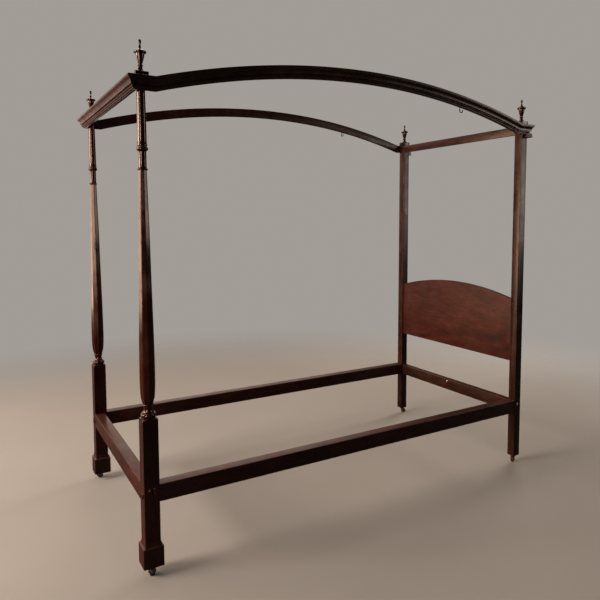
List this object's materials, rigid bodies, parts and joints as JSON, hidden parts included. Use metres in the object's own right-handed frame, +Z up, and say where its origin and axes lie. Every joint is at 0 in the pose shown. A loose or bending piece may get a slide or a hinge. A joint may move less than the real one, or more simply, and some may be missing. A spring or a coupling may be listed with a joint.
{
  "type": "four poster canopy bed",
  "caption": "Mahogany four poster bed with square and octagonal turned foot posts, plain head posts, arched headboard, bolted rails and a bow-sided tester with cornice and urn finials.",
  "frame": {"origin": "on the floor, under the middle of the bed's outline", "axes": "+X to the bed's right side seen from the foot, +Y along the bed towards the headboard, +Z up"},
  "size_m": [1.0796, 2.1056, 1.98],
  "materials": {
    "post_wood": "dark polished mahogany with a worn glossy varnish",
    "rail_wood": "dark red mahogany, semi-gloss varnish",
    "headboard_wood": "lighter red-brown figured mahogany, satin varnish",
    "tester_wood": "dark mahogany, semi-gloss varnish",
    "finial_wood": "turned dark mahogany, polished",
    "bronze": "dark brown bronze, rubbed at the rim",
    "brass": "polished brass, a little worn",
    "steel": "plain steel, slightly dull",
    "caster_iron": "dark worn iron",
    "caster_brass": "dull copper-coloured brass"
  },
  "bodies": {
    "frame": {"foot_post_right": "post_wood", "foot_post_left": "post_wood", "foot_block_right": "post_wood", "foot_block_left": "post_wood", "head_post_right": "post_wood", "head_post_left": "post_wood", "side_rail_right": "rail_wood", "side_rail_left": "rail_wood", "foot_rail": "rail_wood", "head_rail": "rail_wood", "headboard": "headboard_wood", "tester_arch_right": "tester_wood", "tester_arch_left": "tester_wood", "tester_foot_rail": "tester_wood", "tester_head_rail": "tester_wood", "cornice_foot": "tester_wood", "cornice_right": "tester_wood", "cornice_left": "tester_wood", "cornice_return_right": "tester_wood", "cornice_return_left": "tester_wood", "finial_foot_right": "finial_wood", "finial_foot_left": "finial_wood", "finial_head_right": "finial_wood", "finial_head_left": "finial_wood", "tester_pin_foot_right": "steel", "tester_pin_foot_left": "steel", "tester_pin_head_right": "steel", "tester_pin_head_left": "steel", "side_bolt_foot_right": "steel", "side_bolt_foot_left": "steel", "side_bolt_head_right": "steel", "side_bolt_head_left": "steel", "end_bolt_foot_right": "steel", "end_bolt_foot_left": "steel", "end_bolt_head_right": "steel", "end_bolt_head_left": "steel", "side_nut_foot_right": "steel", "side_nut_foot_left": "steel", "side_nut_head_right": "steel", "side_nut_head_left": "steel", "end_nut_foot_right": "steel", "end_nut_foot_left": "steel", "end_nut_head_right": "steel", "end_nut_head_left": "steel", "canopy_hook_right": "bronze", "canopy_hook_left": "bronze", "head_rail_peg": "brass"},
    "foot_caster_right": {"foot_caster_horn_right": "caster_iron"},
    "foot_wheel_right": {"foot_caster_wheel_right": "caster_iron"},
    "foot_caster_left": {"foot_caster_horn_left": "caster_iron"},
    "foot_wheel_left": {"foot_caster_wheel_left": "caster_iron"},
    "head_caster_right": {"head_caster_horn_right": "caster_brass"},
    "head_wheel_right": {"head_caster_wheel_right": "caster_brass"},
    "head_caster_left": {"head_caster_horn_left": "caster_brass"},
    "head_wheel_left": {"head_caster_wheel_left": "caster_brass"},
    "side_bolt_cover_right": {"side_bolt_cover_right": "bronze"},
    "end_bolt_cover_right": {"end_bolt_cover_right": "bronze"},
    "side_bolt_cover_left": {"side_bolt_cover_left": "bronze"},
    "end_bolt_cover_left": {"end_bolt_cover_left": "bronze"}
  },
  "joints": [
    {"name": "foot_caster_swivel_right", "type": "hinge", "parent": "frame", "child": "foot_caster_right", "pos_m": [0.483, -0.996, 0.036], "axis": [0, 0, 1], "continuous": true},
    {"name": "foot_wheel_spin_right", "type": "hinge", "parent": "foot_caster_right", "child": "foot_wheel_right", "pos_m": [0.49777, -0.9986, 0.0145], "axis": [-0.1736, -0.9848, 0], "continuous": true},
    {"name": "foot_caster_swivel_left", "type": "hinge", "parent": "frame", "child": "foot_caster_left", "pos_m": [-0.483, -0.996, 0.036], "axis": [0, 0, 1], "continuous": true},
    {"name": "foot_wheel_spin_left", "type": "hinge", "parent": "foot_caster_left", "child": "foot_wheel_left", "pos_m": [-0.4966, -1.00234, 0.0145], "axis": [-0.4226, 0.9063, 0], "continuous": true},
    {"name": "head_caster_swivel_right", "type": "hinge", "parent": "frame", "child": "head_caster_right", "pos_m": [0.48975, 1.00275, 0.036], "axis": [0, 0, 1], "continuous": true},
    {"name": "head_wheel_spin_right", "type": "hinge", "parent": "head_caster_right", "child": "head_wheel_right", "pos_m": [0.49398, 0.99369, 0.014], "axis": [-0.9063, -0.4226, 0], "continuous": true},
    {"name": "head_caster_swivel_left", "type": "hinge", "parent": "frame", "child": "head_caster_left", "pos_m": [-0.48975, 1.00275, 0.036], "axis": [0, 0, 1], "continuous": true},
    {"name": "head_wheel_spin_left", "type": "hinge", "parent": "head_caster_left", "child": "head_wheel_left", "pos_m": [-0.48209, 1.00918, 0.014], "axis": [0.6428, -0.766, 0], "continuous": true},
    {"name": "side_bolt_cover_right_swing", "type": "hinge", "parent": "frame", "child": "side_bolt_cover_right", "pos_m": [0.483, -1.025, 0.3215], "axis": [0, -1, 0], "continuous": true},
    {"name": "end_bolt_cover_right_swing", "type": "hinge", "parent": "frame", "child": "end_bolt_cover_right", "pos_m": [0.512, -0.996, 0.3395], "axis": [1, 0, 0], "continuous": true},
    {"name": "side_bolt_cover_left_swing", "type": "hinge", "parent": "frame", "child": "side_bolt_cover_left", "pos_m": [-0.483, -1.025, 0.3215], "axis": [0, -1, 0], "continuous": true},
    {"name": "end_bolt_cover_left_swing", "type": "hinge", "parent": "frame", "child": "end_bolt_cover_left", "pos_m": [-0.512, -0.996, 0.3395], "axis": [-1, 0, 0], "continuous": true}
  ]
}
